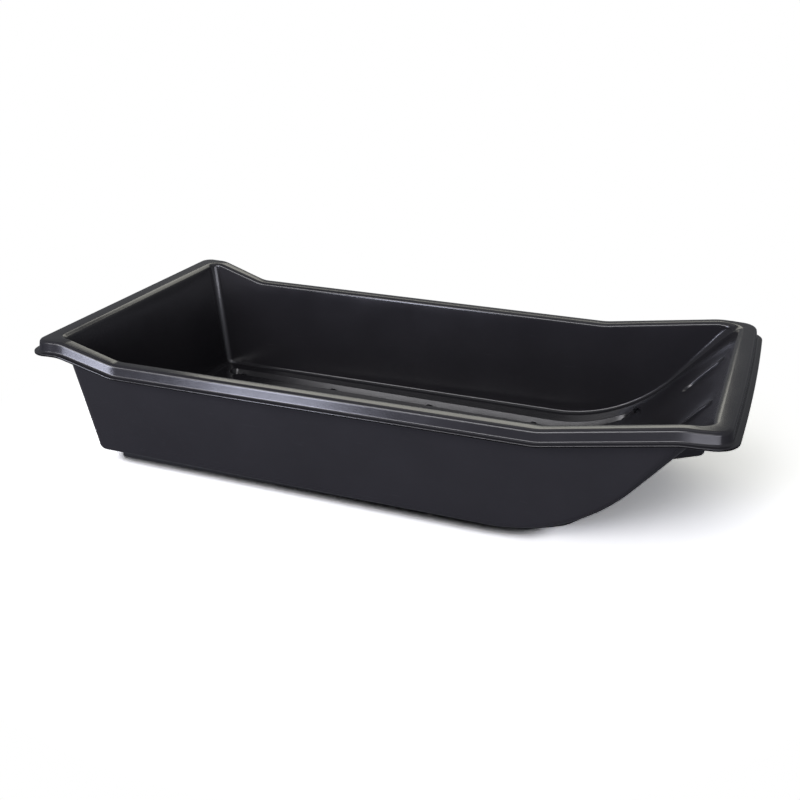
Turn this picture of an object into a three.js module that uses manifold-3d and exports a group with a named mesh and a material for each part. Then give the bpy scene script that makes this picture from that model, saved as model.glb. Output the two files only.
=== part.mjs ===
// Ice fishing sled: a one-piece moulded tub that runs on two bolted wear bars.
// Millimetres, +X towards the nose, +Y to the left, +Z up, origin below the middle of the sled
// on the surface that it stands on.

import * as THREE from 'three';
import { mergeVertices } from 'three/addons/utils/BufferGeometryUtils.js';
import Module from 'manifold-3d';

const wasm = await Module();
wasm.setup();

// The tub is drawn with x measured forward from the rear edge of its rim and z measured up
// from its flat underside. The finished group is moved to the origin named above.
const wall = 5;

const rim = {
  length: 1400,
  rearHeight: 268,
  waistHeight: 232,
  frontHeight: 271,
  rearCrest: 63,
  rearDip: 184,
  frontDip: 1074,
  frontCrest: 1318,
  kinkEase: 12,
  rearHalf: 341,
  rearCrestHalf: 338.5,
  rearDipHalf: 328.5,
  frontDipHalf: 316.5,
  frontCrestHalf: 303.5,
  frontHalf: 299,
  rearCorner: 26,
  frontCorner: 34,
  frontBow: 4,
};

// The lip is an inverted channel with a small flange turned out at its foot.
const lip = {
  height: 29,
  outset: 14,
  edgeRound: 8,
  footRound: 5,
  tipRound: 1.5,
  lean: THREE.MathUtils.degToRad(9),
};

// The well is the hollow that holds the load. Half widths are measured to its inner faces.
const well = {
  rearTop: 42,
  rearFoot: 89,
  footHalf: 279.5,
  footHeight: 20,
  rearTopHalf: 306,
  waistTopHalf: 289,
  frontTopHalf: 272.8,
  heelRound: 18,
  floorRound: 15,
  rearCornerRound: 27,
  frontCornerRound: 18,
  rearRimDrop: 10,
  sideRimDrop: 8,
  frontRimDrop: 5,
};

const nose = {
  start: 975,
  radius: 349,
  angle: THREE.MathUtils.degToRad(48.5),
};

// Two hollow keels are moulded into the floor. They follow the floor line, which is measured
// along the underside from the rear rim edge, and fade out on the nose.
const keel = {
  depth: 14,
  rear: 118,
  fadeStart: 1122,
  fadeEnd: 1181,
  front: 1188,
  half: 19.5,
  bottomRound: 4,
  lean: 1.5,
  root: 3,
  fadeRise: 0.6,
  rearY: 229.5,
  frontY: 207.5,
};

const bar = {
  gap: 0.3,
  thickness: 13,
  half: 16.5,
  cornerRound: 5,
  chamfer: 2,
  rear: 119,
  front: 1208,
  taperStart: 1114,
  tipThickness: 7.5,
};

// A countersunk screw comes up through each bar and the tub to a washer and a nut inside.
const screw = {
  shank: 6,
  head: 13,
  headEdge: 0.8,
  sink: 1.2,
  clearance: 0.3,
  endChamfer: 0.8,
  endProud: 1,
  driveFlats: 4,
  driveDepth: 2,
};
const washer = { outer: 16, thickness: 1.5 };
const nut = { flats: 10, height: 5 };
const screwPlaces = { first: 158, last: 940, perFloor: 4, nose: 1190 };

// Two hitch pockets swell out below the nose, each with a hole for a cross pin.
const pocket = {
  innerY: 104,
  outerY: 133,
  soleStation: 1256,
  crownStation: 1441,
  toeX: 1345,
  toeZ: 147.5,
  toeRound: 12,
  sideRound: 3,
  root: 2.5,
  pinX: 1327,
  pinZ: 162,
  pinHole: 13,
};

const overrun = 12;
const weldTolerance = 1e-3;
const facets = {
  fillet: 4,
  nose: 16,
  lip: 3,
  heel: 3,
  keelEnd: 5,
  keelFade: 9,
  round: 20,
  pin: 32,
  bevel: 2,
};

const groundDrop = keel.depth + bar.gap + bar.thickness;

const colours = {
  tub: { color: 0x1c1c1f, roughness: 0.42, metalness: 0 },
  bar: { color: 0x151517, roughness: 0.5, metalness: 0 },
  steel: { color: 0x2b2b2d, roughness: 0.45, metalness: 0.8 },
};

// Geometry of closed meshes, and their joins and cuts

function orderedSolid(geometry) {
  const bare = geometry.clone();
  bare.deleteAttribute('normal');
  bare.deleteAttribute('uv');
  const merged = mergeVertices(bare, weldTolerance);
  const index = Array.from(merged.index.array);
  const triangles = [];
  for (let i = 0; i < index.length; i += 3) {
    const [a, b, c] = index.slice(i, i + 3);
    if (a !== b && b !== c && c !== a) triangles.push(a, b, c);
  }
  const mesh = new wasm.Mesh({
    numProp: 3,
    vertProperties: new Float32Array(merged.attributes.position.array),
    triVerts: new Uint32Array(triangles),
  });
  return new wasm.Manifold(mesh);
}

function toGeometry(solid) {
  const mesh = solid.getMesh();
  const geometry = new THREE.BufferGeometry();
  geometry.setAttribute('position', new THREE.BufferAttribute(mesh.vertProperties, mesh.numProp));
  geometry.setIndex(new THREE.BufferAttribute(mesh.triVerts, 1));
  geometry.computeVertexNormals();
  return geometry;
}

class Skin {
  constructor() {
    this.points = [];
    this.triangles = [];
  }

  add(point) {
    return this.points.push(point) - 1;
  }

  // Quads between neighbouring rows of points; flip turns the faces the other way.
  addGrid(rows, flip = false) {
    const ids = rows.map((row) => row.map((point) => this.add(point)));
    for (let i = 0; i + 1 < ids.length; i += 1) {
      for (let j = 0; j + 1 < ids[i].length; j += 1) {
        const [a, b, c, d] = [ids[i][j], ids[i][j + 1], ids[i + 1][j + 1], ids[i + 1][j]];
        this.triangles.push(...(flip ? [a, c, b, a, d, c] : [a, b, c, a, c, d]));
      }
    }
  }

  // Triangles between two edges that run the same way with different numbers of points.
  addBand(low, high, flip = false) {
    const [lowIds, highIds] = [low, high].map((edge) => edge.map((point) => this.add(point)));
    let i = 0;
    let j = 0;
    while (i + 1 < low.length || j + 1 < high.length) {
      const alongLow = j + 1 === high.length || (i + 1 < low.length && low[i + 1].x <= high[j + 1].x);
      const next = alongLow ? lowIds[i + 1] : highIds[j + 1];
      const triangle = [lowIds[i], next, highIds[j]];
      this.triangles.push(...(flip ? triangle.reverse() : triangle));
      if (alongLow) i += 1;
      else j += 1;
    }
  }

  addFan(row, flip = false) {
    const ids = row.map((point) => this.add(point));
    for (let i = 1; i + 1 < ids.length; i += 1) {
      this.triangles.push(...(flip ? [ids[0], ids[i + 1], ids[i]] : [ids[0], ids[i], ids[i + 1]]));
    }
  }

  geometry() {
    const geometry = new THREE.BufferGeometry().setFromPoints(this.points);
    geometry.setIndex(this.triangles);
    return geometry;
  }
}

// Joins closed sections, listed from the rear forward, into one closed body.
function loftSections(sections) {
  const skin = new Skin();
  const loops = sections.map((section) => [...section, section[0]]);
  skin.addGrid(loops);
  skin.addFan(sections[0], true);
  skin.addFan(sections[sections.length - 1]);
  return skin.geometry();
}

function extrudeAcross(shape, y0, y1, round = 0) {
  const geometry = new THREE.ExtrudeGeometry(shape, {
    depth: y1 - y0 - 2 * round,
    bevelEnabled: round > 0,
    bevelThickness: round,
    bevelSize: round,
    bevelOffset: -round,
    bevelSegments: facets.bevel,
    curveSegments: facets.keelEnd,
  });
  geometry.rotateX(Math.PI / 2);
  geometry.translate(0, y1 - round, 0);
  return geometry;
}

// Rules that give the rim, the well and the floor line at any station

function steps(count, from, to) {
  return Array.from({ length: count + 1 }, (_, i) => THREE.MathUtils.lerp(from, to, i / count));
}

function alongKinks(x, kinks) {
  let i = 1;
  while (i + 1 < kinks.length && x > kinks[i][0]) i += 1;
  const [x0, v0] = kinks[i - 1];
  const [x1, v1] = kinks[i];
  return v0 + (v1 - v0) * (x - x0) / (x1 - x0);
}

// The rim's kinks are eased over a short length on either side.
function eased(x, kinks) {
  const near = kinks.slice(1, -1).find(([at]) => Math.abs(x - at) < rim.kinkEase);
  if (!near) return alongKinks(x, kinks);
  const from = near[0] - rim.kinkEase;
  const to = near[0] + rim.kinkEase;
  const share = (x - from) / (to - from);
  const before = alongKinks(from, kinks);
  const after = alongKinks(to, kinks);
  return (1 - share) ** 2 * before + 2 * share * (1 - share) * near[1] + share ** 2 * after;
}

const heightKinks = [
  [0, rim.rearHeight],
  [rim.rearCrest, rim.rearHeight],
  [rim.rearDip, rim.waistHeight],
  [rim.frontDip, rim.waistHeight],
  [rim.frontCrest, rim.frontHeight],
  [rim.length, rim.frontHeight],
];

const widthKinks = [
  [0, rim.rearHalf],
  [rim.rearCrest, rim.rearCrestHalf],
  [rim.rearDip, rim.rearDipHalf],
  [rim.frontDip, rim.frontDipHalf],
  [rim.frontCrest, rim.frontCrestHalf],
  [rim.length, rim.frontHalf],
];

const wellKinks = [
  [well.rearTop, well.rearTopHalf],
  [rim.frontDip, well.waistTopHalf],
  [rim.length, well.frontTopHalf],
];

const rimHeight = (x) => eased(x, heightKinks);
const rimHalf = (x) => eased(x, widthKinks);

// Inner face of a side wall: its half width at station x and height z.
function wellHalf(x, z) {
  const share = (z - well.footHeight) / (rim.rearHeight - well.footHeight);
  return well.footHalf + (alongKinks(x, wellKinks) - well.footHalf) * share;
}

// A place on the floor line, at a depth below the tub's underside (negative is above it).
function floorPlace(station, depth) {
  const arc = nose.radius * nose.angle;
  const turned = THREE.MathUtils.clamp(station - nose.start, 0, arc) / nose.radius;
  const beyond = Math.max(station - nose.start - arc, 0);
  const flat = Math.min(station, nose.start);
  const down = new THREE.Vector2(Math.sin(turned), -Math.cos(turned));
  const ahead = new THREE.Vector2(Math.cos(turned), Math.sin(turned));
  return new THREE.Vector2(flat, nose.radius)
    .addScaledVector(down, nose.radius + depth)
    .addScaledVector(ahead, beyond);
}

function floorAngle(station) {
  return THREE.MathUtils.clamp((station - nose.start) / nose.radius, 0, nose.angle);
}

function keelY(station) {
  return THREE.MathUtils.mapLinear(station, keel.rear, keel.front, keel.rearY, keel.frontY);
}

// How far the keel stands below the tub's underside: full depth, then faded out on the nose.
function keelDepth(station) {
  const share = THREE.MathUtils.smoothstep(station, keel.fadeStart, keel.fadeEnd);
  return (keel.depth + keel.fadeRise) * (1 - share) - keel.fadeRise;
}

const barTop = (station) => Math.max(keelDepth(station), 0) + bar.gap;

// How far the bar's running face lies below the tub's underside: level, then a straight taper.
function barUnder(station) {
  const share = THREE.MathUtils.clamp((station - bar.taperStart) / (bar.front - bar.taperStart), 0, 1);
  return THREE.MathUtils.lerp(groundDrop, bar.gap + bar.tipThickness, share);
}

// The tub's sheet: every face is drawn twice, on its inside (skin 0) and its outside (skin = wall)

// Side view of the well's middle: down the rear wall, round the heel, along the floor, up the nose.
function wellLine() {
  const rearUp = new THREE.Vector2(well.rearTop - well.rearFoot, rim.rearHeight - wall).normalize();
  const line = [];
  const rearAt = (height) => new THREE.Vector2(well.rearFoot, wall)
    .addScaledVector(rearUp, (height - wall) / rearUp.y);
  const heelTurn = Math.acos(-rearUp.x);
  const heelCentre = new THREE.Vector2(
    well.rearFoot + well.heelRound * Math.tan(heelTurn / 2), wall + well.heelRound);
  const rearTopHeight = rim.rearHeight - well.rearRimDrop;
  const rearTurn = new THREE.Vector2(-rearUp.y, rearUp.x);
  line.push({ at: rearAt(rearTopHeight), out: rearTurn, round: well.rearCornerRound });
  const midRound = (well.rearCornerRound + well.heelRound) / 2;
  line.push({ at: rearAt(rearTopHeight / 2), out: rearTurn, round: midRound });
  for (const turn of steps(facets.heel, heelTurn, 0)) {
    const out = new THREE.Vector2(-Math.sin(turn), -Math.cos(turn));
    line.push({ at: heelCentre.clone().addScaledVector(out, well.heelRound), out, round: well.heelRound });
  }
  const midFloor = floorPlace(nose.start / 2, -wall);
  line.push({ at: midFloor, out: new THREE.Vector2(0, -1), round: well.floorRound });
  for (const turn of steps(facets.nose, 0, nose.angle)) {
    const at = floorPlace(nose.start + nose.radius * turn, -wall);
    line.push({ at, out: new THREE.Vector2(Math.sin(turn), -Math.cos(turn)), round: well.floorRound });
  }
  const slopeStart = line[line.length - 1];
  const slopeUp = new THREE.Vector2(Math.cos(nose.angle), Math.sin(nose.angle));
  const climb = (rim.frontHeight - well.frontRimDrop - slopeStart.at.y) / slopeUp.y;
  for (const share of [1 / 2, 1]) {
    const at = slopeStart.at.clone().addScaledVector(slopeUp, climb * share);
    const round = THREE.MathUtils.lerp(well.floorRound, well.frontCornerRound, share);
    line.push({ at, out: slopeStart.out, round });
  }
  return line;
}

// One row across the well, from the right side wall over the floor to the left side wall.
// The row is level where level is a height: it then slides along the wall to that height.
function wellRow(place, skin, levels) {
  const row = [];
  const wallAt = place.at.clone().addScaledVector(place.out, -place.round);
  const half = wellHalf(wallAt.x, wallAt.y);
  const up = new THREE.Vector2(place.out.y, -place.out.x);
  const add = (side, turn) => {
    const reach = (place.round + skin) * Math.cos(turn) - place.round;
    const at = place.at.clone().addScaledVector(place.out, reach);
    const y = side * (half - place.round + (place.round + skin) * Math.sin(turn));
    const normal = new THREE.Vector3(
      place.out.x * Math.cos(turn), side * Math.sin(turn), place.out.y * Math.cos(turn));
    if (levels) {
      const drop = THREE.MathUtils.lerp(levels.middle, levels.side, turn / (Math.PI / 2));
      const inner = place.at.y + place.out.y * (place.round * Math.cos(turn) - place.round);
      at.addScaledVector(up, (levels.height - drop - inner) / up.y);
    }
    row.push({ point: new THREE.Vector3(at.x, y, at.y), normal, side, turn });
  };
  const turns = steps(facets.fillet, 0, Math.PI / 2);
  for (const turn of [...turns].reverse()) add(-1, turn);
  row.push({
    point: row[row.length - 1].point.clone().setY(0),
    normal: row[row.length - 1].normal.clone(),
    side: 0,
    turn: 0,
  });
  for (const turn of turns) add(1, turn);
  return row;
}

// Stations of the rim along one side: where it leaves the well, and where it meets its outer edge.
function sideStations() {
  const kinkAt = (x) => [x - rim.kinkEase, x, x + rim.kinkEase];
  const cornerEnd = well.rearTop + well.rearCornerRound;
  const crest = kinkAt(rim.rearCrest);
  const crowd = crest.map((x, i) => cornerEnd + (i + 1) * (crest[2] - crest[0]) / (4 * crest.length));
  const waist = rim.frontDip - rim.rearDip;
  const outer = [
    ...crest, ...kinkAt(rim.rearDip), rim.rearDip + waist / 3, rim.rearDip + waist * 2 / 3,
    ...kinkAt(rim.frontDip), (rim.frontDip + rim.frontCrest) / 2, ...kinkAt(rim.frontCrest),
  ];
  const last = outer[outer.length - 1];
  const frontEnd = rim.length - rim.frontCorner;
  const inner = [...crowd, ...outer.slice(crowd.length)];
  outer.push((last + frontEnd) / 2);
  inner.push(last + rim.kinkEase / 4);
  return inner.map((x, i) => ({ inner: x, outer: outer[i] }));
}

function wallNormal(x, z, side) {
  const small = rim.kinkEase;
  const alongX = (wellHalf(x + small, z) - wellHalf(x, z)) / small;
  const alongZ = (wellHalf(x, z + small) - wellHalf(x, z)) / small;
  return new THREE.Vector3(-alongX, side, -alongZ).normalize();
}

// The rim's cross-section at one station: over the inner round, across the top, down the lip's
// face and out along its flange.
function rimSection(station, skin) {
  const { point, normal, corner, outward } = station;
  const plan = new THREE.Vector3(normal.x, normal.y, 0).normalize();
  const lean = Math.acos(-normal.z);
  const drop = rimHeight(point.x) - point.z;
  const round = drop / (1 - Math.cos(lean));
  const centre = point.clone().addScaledVector(normal, round);
  const section = steps(facets.fillet, lean, 0).map((turn) => centre.clone()
    .addScaledVector(plan, -(round - skin) * Math.sin(turn))
    .add(new THREE.Vector3(0, 0, (round - skin) * Math.cos(turn))));
  const turnOut = Math.PI / 2 - lip.lean;
  const edgeBack = lip.edgeRound * Math.tan(turnOut / 2);
  const footHeight = lip.height - wall;
  const footOut = footHeight * Math.tan(lip.lean) + lip.footRound * Math.tan(turnOut / 2);
  const outline = [];
  for (const turn of steps(facets.lip, 0, turnOut)) {
    const r = lip.edgeRound - skin;
    outline.push([-edgeBack + r * Math.sin(turn), lip.edgeRound - r * Math.cos(turn)]);
  }
  for (const turn of steps(facets.lip, turnOut, 0)) {
    const r = lip.footRound + skin;
    outline.push([footOut - r * Math.sin(turn), footHeight - lip.footRound + r * Math.cos(turn)]);
  }
  outline.push([lip.outset - lip.tipRound, footHeight + skin]);
  const crown = rimHeight(corner.x);
  const place = ([out, down]) => new THREE.Vector3(
    corner.x + outward.x * out, corner.y + outward.y * out, crown - down);
  const tip = [
    [lip.outset, footHeight + lip.tipRound],
    [lip.outset, lip.height - lip.tipRound],
  ].map(place);
  return { section: [...section, ...outline.map(place)], tip };
}

function rearCorner({ side, turn }) {
  if (side === 0) return { corner: new THREE.Vector2(0, 0), outward: new THREE.Vector2(-1, 0) };
  const x = rim.rearCorner * (1 - Math.cos(turn));
  const y = side * (rimHalf(0) - rim.rearCorner * (1 - Math.sin(turn)));
  const outward = new THREE.Vector2(-Math.cos(turn), side * Math.sin(turn));
  return { corner: new THREE.Vector2(x, y), outward };
}

function frontCorner({ side, turn }) {
  if (side === 0) return { corner: new THREE.Vector2(rim.length, 0), outward: new THREE.Vector2(1, 0) };
  const x = rim.length - rim.frontBow - rim.frontCorner * (1 - Math.cos(turn));
  const y = side * (rimHalf(rim.length) - rim.frontCorner * (1 - Math.sin(turn)));
  const outward = new THREE.Vector2(Math.cos(turn), side * Math.sin(turn));
  return { corner: new THREE.Vector2(x, y), outward };
}

function sideStation({ inner, outer }, side, skin) {
  const z = rimHeight(inner) - well.sideRimDrop;
  const normal = wallNormal(inner, z, side);
  const point = new THREE.Vector3(inner, side * wellHalf(inner, z), z);
  const slope = (rimHalf(outer + rim.kinkEase) - rimHalf(outer - rim.kinkEase)) / (2 * rim.kinkEase);
  return {
    point,
    shown: point.clone().addScaledVector(normal, skin),
    normal,
    corner: new THREE.Vector2(outer, side * rimHalf(outer)),
    outward: new THREE.Vector2(-slope, side).normalize(),
  };
}

function sheetFaces(skin) {
  const line = wellLine();
  const rearLevels = { height: rim.rearHeight, middle: well.rearRimDrop, side: well.sideRimDrop };
  const frontLevels = { height: rim.frontHeight, middle: well.frontRimDrop, side: well.sideRimDrop };
  const levelsOf = (i) => {
    if (i === 0) return rearLevels;
    return i === line.length - 1 ? frontLevels : null;
  };
  const rows = line.map((place, i) => wellRow(place, skin, levelsOf(i)));
  const bareRows = line.map((place, i) => wellRow(place, 0, levelsOf(i)));
  const first = bareRows[0].map((spot) => ({ ...spot, ...rearCorner(spot) }));
  const last = bareRows[line.length - 1].map((spot) => ({ ...spot, ...frontCorner(spot) }));
  const sides = [-1, 1].map((side) => sideStations().map((spot) => sideStation(spot, side, skin)));
  const loop = [...first, ...sides[1], ...[...last].reverse(), ...[...sides[0]].reverse(), first[0]];
  const sections = loop.map((station) => rimSection(station, skin));
  const panels = [-1, 1].map((side, k) => {
    const edge = (row) => (side < 0 ? row[0].point : row[row.length - 1].point);
    const low = rows.map(edge);
    const high = [low[0], ...sides[k].map((station) => station.shown), low[low.length - 1]];
    return [low, high];
  });
  return { rows: rows.map((row) => row.map((spot) => spot.point)), panels, sections };
}

function tubSheet() {
  const inside = sheetFaces(0);
  const outside = sheetFaces(wall);
  const skin = new Skin();
  for (const [faces, flip] of [[inside, false], [outside, true]]) {
    skin.addGrid(faces.rows, !flip);
    skin.addBand(...faces.panels[0], !flip);
    skin.addBand(...faces.panels[1], flip);
    skin.addGrid(faces.sections.map(({ section }) => section), !flip);
  }
  const tips = inside.sections.map(({ section, tip }, i) => {
    const below = outside.sections[i].section;
    return [section[section.length - 1], ...tip, below[below.length - 1]];
  });
  skin.addGrid(tips, true);
  return skin.geometry();
}

// Bodies that follow the floor line: the keels, their grooves and the wear bars

// Columns of a plan outline with rounded ends, as pairs of station and half width.
function planColumns(rear, front, half, round, inset, between) {
  const r = round - inset;
  const turns = steps(facets.keelEnd, 0, Math.PI / 2).slice(round < half ? 0 : 1);
  const ends = turns.map((turn) => [r * (1 - Math.cos(turn)), half - round + r * Math.sin(turn)]);
  return [
    ...ends.map(([back, y]) => [rear + inset + back, y]),
    ...between.map((station) => [station, half - inset]),
    ...ends.reverse().map(([back, y]) => [front - inset - back, y]),
  ];
}

// levels lists, from the top down, each level's inset and its depth at a station.
function floorBody({ rear, front, half, round, side, levels }) {
  const between = [nose.start, ...steps(facets.keelFade, nose.start, keel.fadeEnd).slice(1)]
    .filter((station) => station > rear + round && station < front - round);
  const columns = levels.map(({ inset }) => planColumns(rear, front, half, round, inset, between));
  const sections = columns[0].map((_, i) => {
    const corner = (level, across) => {
      const [station, reach] = columns[level][i];
      const place = floorPlace(station, levels[level].depth(station));
      return new THREE.Vector3(place.x, side * keelY(station) + across * reach, place.y);
    };
    const down = levels.map((_level, k) => corner(k, -1));
    const up = levels.map((_level, k) => corner(k, 1)).reverse();
    return [...down, ...up];
  });
  return orderedSolid(loftSections(sections));
}

function keelBody(side) {
  const depthAt = (share) => (station) => keelDepth(station) * share - keel.root * (1 - share);
  const shoulderShare = 1 - keel.bottomRound / keel.depth;
  return floorBody({
    rear: keel.rear,
    front: keel.front,
    half: keel.half,
    round: keel.half,
    side,
    levels: [
      { inset: 0, depth: depthAt(0) },
      { inset: keel.lean, depth: depthAt(shoulderShare) },
      { inset: keel.lean + keel.bottomRound / 4, depth: depthAt((1 + 2 * shoulderShare) / 3) },
      { inset: keel.lean + keel.bottomRound / 2, depth: depthAt((2 + shoulderShare) / 3) },
      { inset: keel.lean + keel.bottomRound, depth: depthAt(1) },
    ],
  });
}

function grooveCut(side) {
  const round = keel.bottomRound / 2;
  const top = wall + overrun;
  return floorBody({
    rear: keel.rear + wall,
    front: keel.front - wall,
    half: keel.half - wall,
    round: keel.half - wall,
    side,
    levels: [
      { inset: 0, depth: () => -top },
      { inset: 0, depth: () => -wall },
      { inset: keel.lean, depth: (station) => Math.max(keelDepth(station) - round, -keel.fadeRise) - wall },
      { inset: keel.lean + round, depth: (station) => keelDepth(station) - wall },
    ],
  });
}

// Screws, washers and nuts

function screwStations() {
  return [...steps(screwPlaces.perFloor - 1, screwPlaces.first, screwPlaces.last), screwPlaces.nose];
}

// Heights in a screw's own frame: zero is the tub's underside, up is into the tub.
function screwStack(station) {
  const under = -barUnder(station);
  const seat = wall - Math.max(keelDepth(station), 0);
  const washerFoot = seat + bar.gap;
  const nutFoot = washerFoot + washer.thickness + bar.gap;
  return { under, seat, washerFoot, nutFoot, tip: nutFoot + nut.height + screw.endProud };
}

function placeAtScrew(object, station, side) {
  const place = floorPlace(station, 0);
  object.position.set(place.x, side * keelY(station), place.y);
  object.rotation.y = -floorAngle(station);
  return object;
}

function turned(profile) {
  const points = profile.map(([radius, height]) => new THREE.Vector2(radius, height));
  return new THREE.LatheGeometry(points, facets.round).rotateX(Math.PI / 2);
}

function screwHole(station, side) {
  const { under, seat } = screwStack(station);
  const radius = screw.shank / 2 + screw.clearance;
  const headRadius = screw.head / 2 + screw.clearance;
  const coneTop = under + screw.sink + screw.headEdge + headRadius - radius + screw.clearance;
  const profile = [
    [0, under - overrun],
    [headRadius, under - overrun],
    [headRadius, coneTop - (headRadius - radius)],
    [radius, coneTop],
    [radius, seat + overrun],
    [0, seat + overrun],
  ];
  const cut = placeAtScrew(new THREE.Mesh(turned(profile)), station, side);
  cut.updateMatrixWorld();
  return orderedSolid(cut.geometry.clone().applyMatrix4(cut.matrixWorld));
}

function screwGeometry(station) {
  const { under, tip } = screwStack(station);
  const radius = screw.shank / 2;
  const headRadius = screw.head / 2;
  const face = under + screw.sink;
  const body = turned([
    [0, face],
    [headRadius, face],
    [headRadius, face + screw.headEdge],
    [radius, face + screw.headEdge + headRadius - radius],
    [radius, tip - screw.endChamfer],
    [radius - screw.endChamfer, tip],
    [0, tip],
  ]);
  const driveRadius = screw.driveFlats / Math.sqrt(3);
  const drive = new THREE.CylinderGeometry(driveRadius, driveRadius, 2 * screw.driveDepth, 6)
    .rotateX(Math.PI / 2)
    .translate(0, 0, face);
  return toGeometry(orderedSolid(body).subtract(orderedSolid(drive)));
}

function washerGeometry(station) {
  const { washerFoot } = screwStack(station);
  const bore = screw.shank / 2 + screw.clearance;
  const outer = washer.outer / 2;
  const top = washerFoot + washer.thickness;
  return turned([[bore, washerFoot], [outer, washerFoot], [outer, top], [bore, top], [bore, washerFoot]]);
}

function nutGeometry(station) {
  const { nutFoot } = screwStack(station);
  const across = nut.flats / Math.sqrt(3);
  const shape = new THREE.Shape();
  for (let i = 0; i < 6; i += 1) {
    const turn = i * Math.PI / 3;
    const corner = [across * Math.cos(turn), across * Math.sin(turn)];
    if (i === 0) shape.moveTo(...corner);
    else shape.lineTo(...corner);
  }
  shape.closePath();
  const bore = new THREE.Path();
  bore.absarc(0, 0, screw.shank / 2 + screw.clearance, 0, 2 * Math.PI, true);
  shape.holes.push(bore);
  const settings = { depth: nut.height, bevelEnabled: false, curveSegments: facets.round };
  return new THREE.ExtrudeGeometry(shape, settings).translate(0, 0, nutFoot);
}

function barSolid(side) {
  const body = floorBody({
    rear: bar.rear,
    front: bar.front,
    half: bar.half,
    round: bar.cornerRound,
    side,
    levels: [
      { inset: bar.chamfer / 2, depth: barTop },
      { inset: 0, depth: (station) => barTop(station) + bar.chamfer / 2 },
      { inset: 0, depth: (station) => barUnder(station) - bar.chamfer },
      { inset: bar.chamfer, depth: barUnder },
    ],
  });
  return screwStations().reduce((solid, station) => solid.subtract(screwHole(station, side)), body);
}

// Hitch pockets

function lineMeet(a, b) {
  const cross = a.dir.x * b.dir.y - a.dir.y * b.dir.x;
  const gap = b.at.clone().sub(a.at);
  return a.at.clone().addScaledVector(a.dir, (gap.x * b.dir.y - gap.y * b.dir.x) / cross);
}

// Side view of a pocket, drawn inset from its outside; its back edge lies at a depth from the nose.
function pocketShape(inset, backDepth) {
  const toe = new THREE.Vector2(pocket.toeX, pocket.toeZ);
  const soleRoot = floorPlace(pocket.soleStation, 0);
  const crown = floorPlace(pocket.crownStation, 0);
  const through = (a, b) => {
    const dir = b.clone().sub(a).normalize();
    const inward = new THREE.Vector2(-dir.y, dir.x);
    return { at: a.clone().addScaledVector(inward, inset), dir };
  };
  const sole = through(soleRoot, toe);
  const front = through(toe, crown);
  const slope = new THREE.Vector2(Math.cos(nose.angle), Math.sin(nose.angle));
  const back = { at: floorPlace(pocket.crownStation, backDepth), dir: slope };
  const round = pocket.toeRound - inset;
  const corner = lineMeet(sole, front);
  const into = sole.dir.angleTo(front.dir) / 2;
  const reach = round * Math.tan(into);
  const start = lineMeet(sole, back);
  const end = lineMeet(front, back);
  const before = corner.clone().addScaledVector(sole.dir, -reach);
  const after = corner.clone().addScaledVector(front.dir, reach);
  const shape = new THREE.Shape();
  shape.moveTo(start.x, start.y);
  shape.lineTo(before.x, before.y);
  shape.quadraticCurveTo(corner.x, corner.y, after.x, after.y);
  shape.lineTo(end.x, end.y);
  shape.closePath();
  return shape;
}

// The span between two distances from the middle, on one side, from its lower y to its higher.
function acrossSpan(near, far, side) {
  return side > 0 ? [near, far] : [-far, -near];
}

function pocketBody(side) {
  const y = acrossSpan(pocket.innerY - wall, pocket.outerY + wall, side);
  return orderedSolid(extrudeAcross(pocketShape(0, -pocket.root), ...y, pocket.sideRound));
}

function pocketCuts(side) {
  const y = acrossSpan(pocket.innerY, pocket.outerY, side);
  const hollow = orderedSolid(extrudeAcross(pocketShape(wall, -wall - overrun), ...y));
  const length = pocket.outerY - pocket.innerY + 2 * (wall + overrun);
  const radius = pocket.pinHole / 2;
  const pin = new THREE.CylinderGeometry(radius, radius, length, facets.pin)
    .translate(pocket.pinX, (y[0] + y[1]) / 2, pocket.pinZ);
  return [hollow, orderedSolid(pin)];
}

function tubSolid() {
  let solid = orderedSolid(tubSheet());
  for (const side of [-1, 1]) {
    solid = solid.add(keelBody(side)).add(pocketBody(side)).subtract(grooveCut(side));
    for (const cut of pocketCuts(side)) solid = solid.subtract(cut);
    for (const station of screwStations()) solid = solid.subtract(screwHole(station, side));
  }
  return solid;
}

// The sled

const sled = new THREE.Group();
sled.position.set(-rim.length / 2, 0, groundDrop);

function addPiece(name, geometry, look) {
  const mesh = new THREE.Mesh(geometry, new THREE.MeshStandardMaterial(look));
  mesh.name = name;
  sled.add(mesh);
  return mesh;
}

addPiece('tub', toGeometry(tubSolid()), colours.tub);

for (const [side, hand] of [[1, 'left'], [-1, 'right']]) {
  addPiece(`wear_bar_${hand}`, toGeometry(barSolid(side)), colours.bar);
  screwStations().forEach((station, i) => {
    const place = `${hand}_${i + 1}`;
    const screwPiece = addPiece(`bar_screw_${place}`, screwGeometry(station), colours.steel);
    const washerPiece = addPiece(`bar_washer_${place}`, washerGeometry(station), colours.steel);
    const nutPiece = addPiece(`bar_nut_${place}`, nutGeometry(station), colours.steel);
    for (const piece of [screwPiece, washerPiece, nutPiece]) placeAtScrew(piece, station, side);
  });
}

export default sled;
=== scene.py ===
import math
import bpy
from mathutils import Matrix, Vector


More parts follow.
